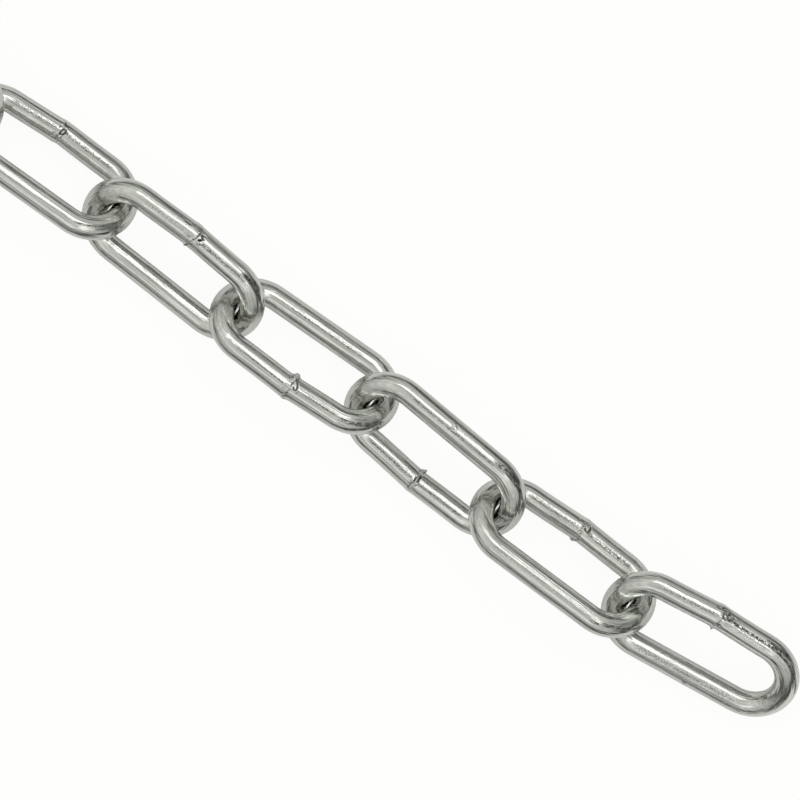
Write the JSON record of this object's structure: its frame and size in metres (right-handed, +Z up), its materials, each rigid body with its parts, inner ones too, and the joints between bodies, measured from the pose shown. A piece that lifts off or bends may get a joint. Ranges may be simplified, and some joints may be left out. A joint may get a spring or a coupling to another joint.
{
  "type": "length of welded steel chain",
  "caption": "Straight length of zinc-plated long-link welded steel chain lying on a floor, each link hung in the one before it.",
  "frame": {"origin": "on the floor under the middle of the chain's length and width", "axes": "+X along the chain towards its free end link, +Z up from the floor"},
  "size_m": [0.9956, 0.0372, 0.024],
  "materials": {
    "zinc_plated_steel": "bright zinc plate, satin sheen with fine drawing marks along the wire"
  },
  "bodies": {
    "link_01": {"chain_link_01": "zinc_plated_steel"},
    "link_02": {"chain_link_02": "zinc_plated_steel"},
    "link_03": {"chain_link_03": "zinc_plated_steel"},
    "link_04": {"chain_link_04": "zinc_plated_steel"},
    "link_05": {"chain_link_05": "zinc_plated_steel"},
    "link_06": {"chain_link_06": "zinc_plated_steel"},
    "link_07": {"chain_link_07": "zinc_plated_steel"},
    "link_08": {"chain_link_08": "zinc_plated_steel"},
    "link_09": {"chain_link_09": "zinc_plated_steel"},
    "link_10": {"chain_link_10": "zinc_plated_steel"},
    "link_11": {"chain_link_11": "zinc_plated_steel"},
    "link_12": {"chain_link_12": "zinc_plated_steel"},
    "link_13": {"chain_link_13": "zinc_plated_steel"},
    "link_14": {"chain_link_14": "zinc_plated_steel"},
    "link_15": {"chain_link_15": "zinc_plated_steel"},
    "link_16": {"chain_link_16": "zinc_plated_steel"},
    "link_17": {"chain_link_17": "zinc_plated_steel"},
    "link_18": {"chain_link_18": "zinc_plated_steel"},
    "link_19": {"chain_link_19": "zinc_plated_steel"}
  },
  "joints": [
    {"name": "link_02_swing", "type": "hinge", "parent": "link_01", "child": "link_02", "pos_m": [-0.43387, -0.00466, 0.01187], "axis": [0.0168, 0.8037, 0.5948], "range_deg": [-75, 75]},
    {"name": "link_03_swing", "type": "hinge", "parent": "link_02", "child": "link_03", "pos_m": [-0.38228, -0.0034, 0.01187], "axis": [0.0168, -0.8037, 0.5948], "range_deg": [-75, 75]},
    {"name": "link_04_swing", "type": "hinge", "parent": "link_03", "child": "link_04", "pos_m": [-0.33069, -0.00466, 0.01142], "axis": [-0.0163, -0.777, -0.6293], "range_deg": [-75, 75]},
    {"name": "link_05_swing", "type": "hinge", "parent": "link_04", "child": "link_05", "pos_m": [-0.2791, -0.0034, 0.01142], "axis": [-0.0163, 0.777, -0.6293], "range_deg": [-75, 75]},
    {"name": "link_06_swing", "type": "hinge", "parent": "link_05", "child": "link_06", "pos_m": [-0.22752, -0.00466, 0.01187], "axis": [0.0168, 0.8037, 0.5948], "range_deg": [-75, 75]},
    {"name": "link_07_swing", "type": "hinge", "parent": "link_06", "child": "link_07", "pos_m": [-0.17593, -0.0034, 0.01187], "axis": [0.0168, -0.8037, 0.5948], "range_deg": [-75, 75]},
    {"name": "link_08_swing", "type": "hinge", "parent": "link_07", "child": "link_08", "pos_m": [-0.12434, -0.00466, 0.01142], "axis": [-0.0163, -0.777, -0.6293], "range_deg": [-75, 75]},
    {"name": "link_09_swing", "type": "hinge", "parent": "link_08", "child": "link_09", "pos_m": [-0.07276, -0.0034, 0.01142], "axis": [-0.0163, 0.777, -0.6293], "range_deg": [-75, 75]},
    {"name": "link_10_swing", "type": "hinge", "parent": "link_09", "child": "link_10", "pos_m": [-0.02117, -0.00466, 0.01187], "axis": [0.0168, 0.8037, 0.5948], "range_deg": [-75, 75]},
    {"name": "link_11_swing", "type": "hinge", "parent": "link_10", "child": "link_11", "pos_m": [0.03042, -0.0034, 0.01187], "axis": [0.0168, -0.8037, 0.5948], "range_deg": [-75, 75]},
    {"name": "link_12_swing", "type": "hinge", "parent": "link_11", "child": "link_12", "pos_m": [0.082, -0.00466, 0.01142], "axis": [-0.0163, -0.777, -0.6293], "range_deg": [-75, 75]},
    {"name": "link_13_swing", "type": "hinge", "parent": "link_12", "child": "link_13", "pos_m": [0.13359, -0.0034, 0.01142], "axis": [-0.0163, 0.777, -0.6293], "range_deg": [-75, 75]},
    {"name": "link_14_swing", "type": "hinge", "parent": "link_13", "child": "link_14", "pos_m": [0.18518, -0.00466, 0.01187], "axis": [0.0168, 0.8037, 0.5948], "range_deg": [-75, 75]},
    {"name": "link_15_swing", "type": "hinge", "parent": "link_14", "child": "link_15", "pos_m": [0.23673, -0.00243, 0.01187], "axis": [0.0309, -0.8033, 0.5948], "range_deg": [-75, 75]},
    {"name": "link_16_swing", "type": "hinge", "parent": "link_15", "child": "link_16", "pos_m": [0.28833, -0.00317, 0.0115], "axis": [-0.0081, -0.7716, -0.6361], "range_deg": [-75, 75]},
    {"name": "link_17_swing", "type": "hinge", "parent": "link_16", "child": "link_17", "pos_m": [0.33985, -0.00021, 0.01125], "axis": [-0.0412, 0.7869, -0.6157], "range_deg": [-75, 75]},
    {"name": "link_18_swing", "type": "hinge", "parent": "link_17", "child": "link_18", "pos_m": [0.39141, -0.00257, 0.01205], "axis": [0.0305, 0.7928, 0.6088], "range_deg": [-75, 75]},
    {"name": "link_19_swing", "type": "hinge", "parent": "link_18", "child": "link_19", "pos_m": [0.443, -0.00144, 0.01196], "axis": [0.0139, -0.7985, 0.6018], "range_deg": [-75, 75]}
  ]
}
